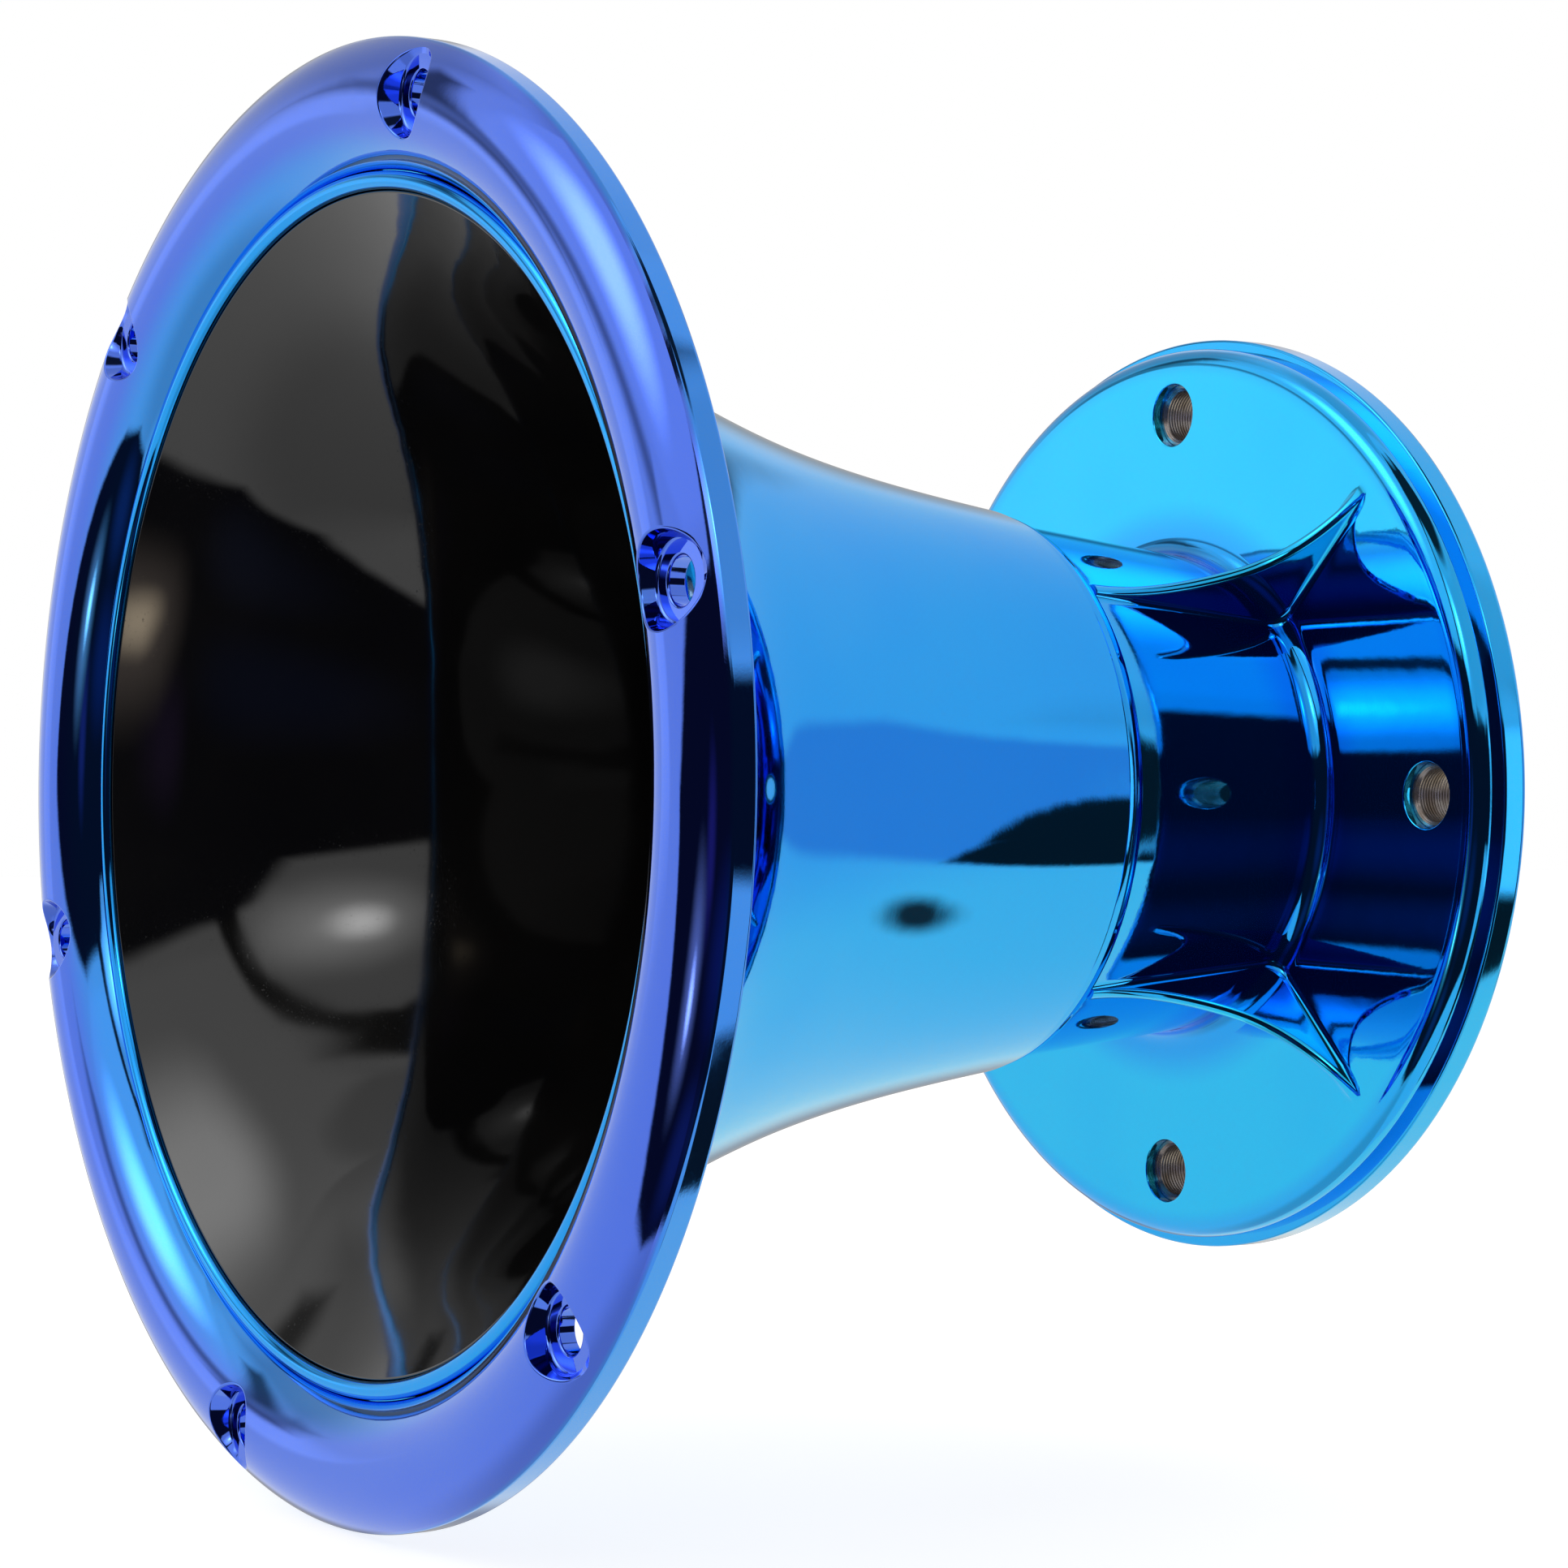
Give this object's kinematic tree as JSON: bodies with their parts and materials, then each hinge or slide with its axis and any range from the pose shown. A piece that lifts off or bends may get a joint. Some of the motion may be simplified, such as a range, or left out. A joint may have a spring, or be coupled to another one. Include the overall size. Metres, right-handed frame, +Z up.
{
  "type": "loudspeaker waveguide horn",
  "caption": "Round waveguide horn for a compression driver: domed ring with counterbored screw holes, flared bell with a black liner, gusseted neck and stepped bolt flange.",
  "frame": {"origin": "centre of the throat on the driver seat, the flat back of the rear flange", "axes": "+Y along the horn's axis out of the throat towards the driver, so the mouth faces -Y; +Z up, towards one of the four flange holes; +X to the right seen from in front of the mouth"},
  "size_m": [0.174, 0.1356, 0.174],
  "materials": {
    "ring_chrome": "violet-blue vacuum metallised mirror",
    "bell_chrome": "blue vacuum metallised mirror",
    "flange_chrome": "cyan-blue vacuum metallised mirror",
    "black_gloss": "polished black moulding",
    "sleeve_metal": "dull turned steel",
    "gasket_foam": "matte closed-cell foam"
  },
  "bodies": {
    "root": {"front_bezel_ring": "ring_chrome", "bell_shell": "bell_chrome", "horn_liner": "black_gloss", "throat_neck": "flange_chrome", "flange_back_plate": "flange_chrome", "flange_bushings": "sleeve_metal", "driver_gasket": "gasket_foam"}
  },
  "joints": []
}
